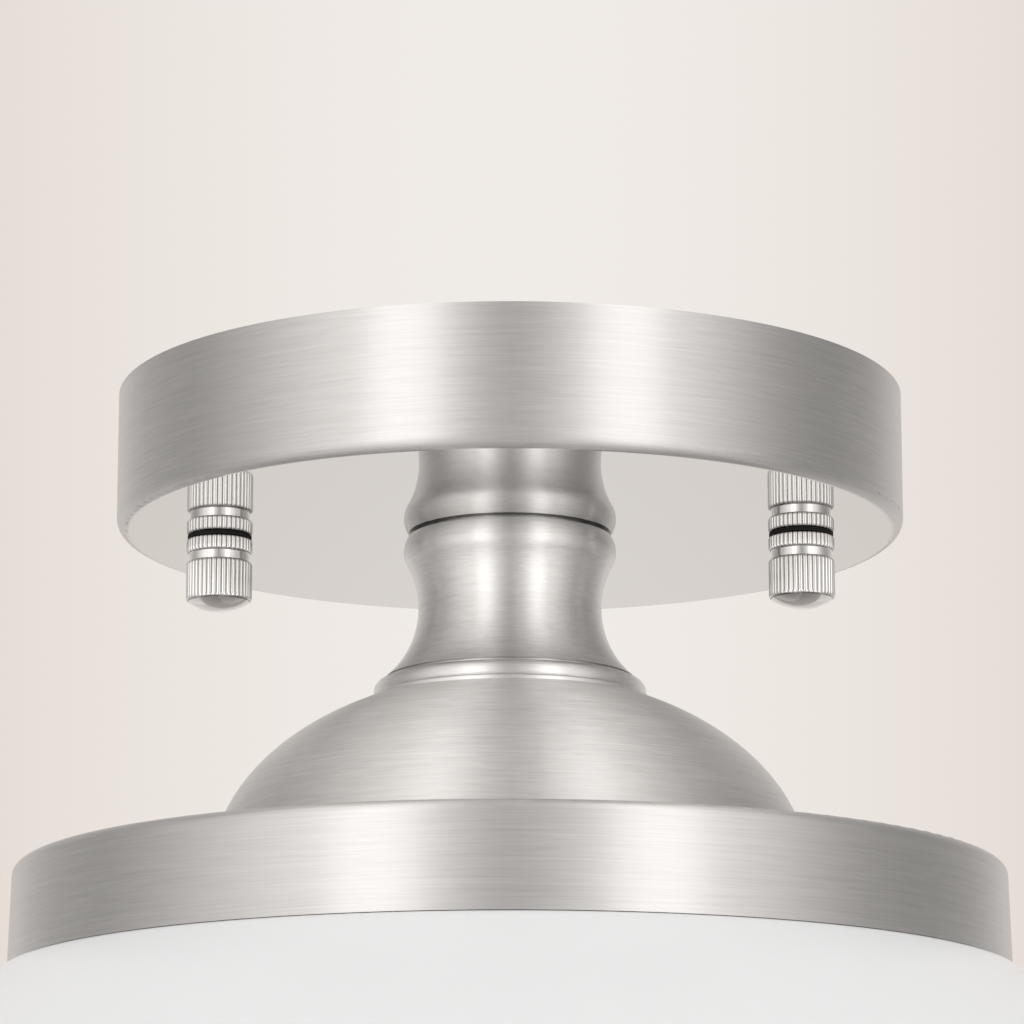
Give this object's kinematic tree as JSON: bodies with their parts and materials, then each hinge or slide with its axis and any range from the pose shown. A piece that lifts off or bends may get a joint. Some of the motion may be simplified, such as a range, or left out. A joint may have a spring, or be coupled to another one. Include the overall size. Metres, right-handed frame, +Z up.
{
  "type": "semi-flush ceiling light",
  "caption": "Round brushed-nickel canopy on a swivel crossbar, waisted neck, bead, dome and fitter band with a twist-lock opal glass shade over a screw-base bulb.",
  "frame": {"origin": "on the lamp's axis in the ceiling plane, midway between the box bar's two slots", "axes": "+Z up, towards the ceiling; the canopy's two studs lie along X and the outlet-box slots along Y"},
  "size_m": [0.24, 0.24, 0.2317],
  "materials": {
    "brushed_nickel": "brushed round the axis, satin nickel plate",
    "polished_nickel": "bright nickel plate, turned and knurled",
    "zinc_steel": "zinc plate",
    "green_steel": "green dyed zinc plate",
    "brass_plated": "plain brass",
    "nickel_brass": "bright rolled thread",
    "black_fibre": "pressed black fibre",
    "black_plastic": "moulded nylon",
    "opal_glass": "white opal glass, glossy outside",
    "frosted_glass": "white inside frosting",
    "porcelain": "white glaze",
    "solder": "dull solder",
    "black_glass": "black vitrified glass",
    "black_wire": "soft insulation",
    "white_wire": "soft insulation",
    "green_wire": "soft insulation",
    "orange_plastic": "moulded, ribbed"
  },
  "bodies": {
    "ceiling_bracket": {"box_bar": "zinc_steel", "swivel_rivet": "zinc_steel"},
    "fixture": {"stud_bar": "zinc_steel", "canopy_studs": "zinc_steel", "stud_lock_nuts": "zinc_steel", "ground_screw": "green_steel", "canopy": "brushed_nickel", "nipple": "brass_plated", "nipple_bushings": "black_plastic", "ground_lug": "brass_plated", "canopy_washer": "zinc_steel", "canopy_nut": "zinc_steel", "neck": "brushed_nickel", "bead_ring": "brushed_nickel", "dome": "brushed_nickel", "dome_washer": "zinc_steel", "dome_nut": "zinc_steel", "shade_pan": "brushed_nickel", "pan_rivets": "zinc_steel", "shade_hooks": "zinc_steel", "lampholder_strap": "zinc_steel", "strap_lock_nut": "zinc_steel", "lampholder_screws": "zinc_steel", "lampholder_body": "porcelain", "screw_shell": "brass_plated", "shell_rivets": "brass_plated", "centre_contact": "brass_plated", "live_lead": "black_wire", "neutral_lead": "white_wire", "ground_lead": "green_wire", "wire_connectors": "orange_plastic"},
    "left_washer": {"left_nut_washer": "black_fibre"},
    "left_nut": {"left_cap_nut": "polished_nickel"},
    "right_washer": {"right_nut_washer": "black_fibre"},
    "right_nut": {"right_cap_nut": "polished_nickel"},
    "shade": {"shade_lip": "opal_glass", "shade_shoulder": "opal_glass", "shade_bowl": "opal_glass"},
    "bulb_tip": {"bulb_contact": "solder"},
    "bulb": {"bulb_insulator": "black_glass", "bulb_base": "nickel_brass", "bulb_glass": "frosted_glass"}
  },
  "joints": [
    {"name": "crossbar_swivel", "type": "hinge", "parent": "ceiling_bracket", "child": "fixture", "pos_m": [0, 0, -0.0023], "axis": [0, 0, 1], "range_deg": [-90, 90]},
    {"name": "left_nut_travel", "type": "slide", "parent": "fixture", "child": "left_washer", "axis": [0, 0, 1], "range_m": [-0.0075, 0]},
    {"name": "left_nut_turn", "type": "hinge", "parent": "left_washer", "child": "left_nut", "pos_m": [-0.0445, 0, -0.0267], "axis": [0, 0, 1], "range_deg": [-3840, 0]},
    {"name": "right_nut_travel", "type": "slide", "parent": "fixture", "child": "right_washer", "axis": [0, 0, 1], "range_m": [-0.0075, 0]},
    {"name": "right_nut_turn", "type": "hinge", "parent": "right_washer", "child": "right_nut", "pos_m": [0.0445, 0, -0.0267], "axis": [0, 0, 1], "range_deg": [-3840, 0]},
    {"name": "shade_twist", "type": "hinge", "parent": "fixture", "child": "shade", "pos_m": [0, 0, -0.0784], "axis": [0, 0, 1], "range_deg": [-30, 0]},
    {"name": "bulb_travel", "type": "slide", "parent": "fixture", "child": "bulb_tip", "axis": [0, 0, 1], "range_m": [-0.0182, 0]},
    {"name": "bulb_turn", "type": "hinge", "parent": "bulb_tip", "child": "bulb", "pos_m": [0, 0, -0.097], "axis": [0, 0, 1], "range_deg": [-1800, 0]}
  ],
  "couplings": [
    {"joint": "left_nut_travel", "follows": "left_nut_turn", "m_per_rad": 0.00011141},
    {"joint": "right_nut_travel", "follows": "right_nut_turn", "m_per_rad": 0.00011141},
    {"joint": "bulb_travel", "follows": "bulb_turn", "m_per_rad": 0.00057773}
  ]
}
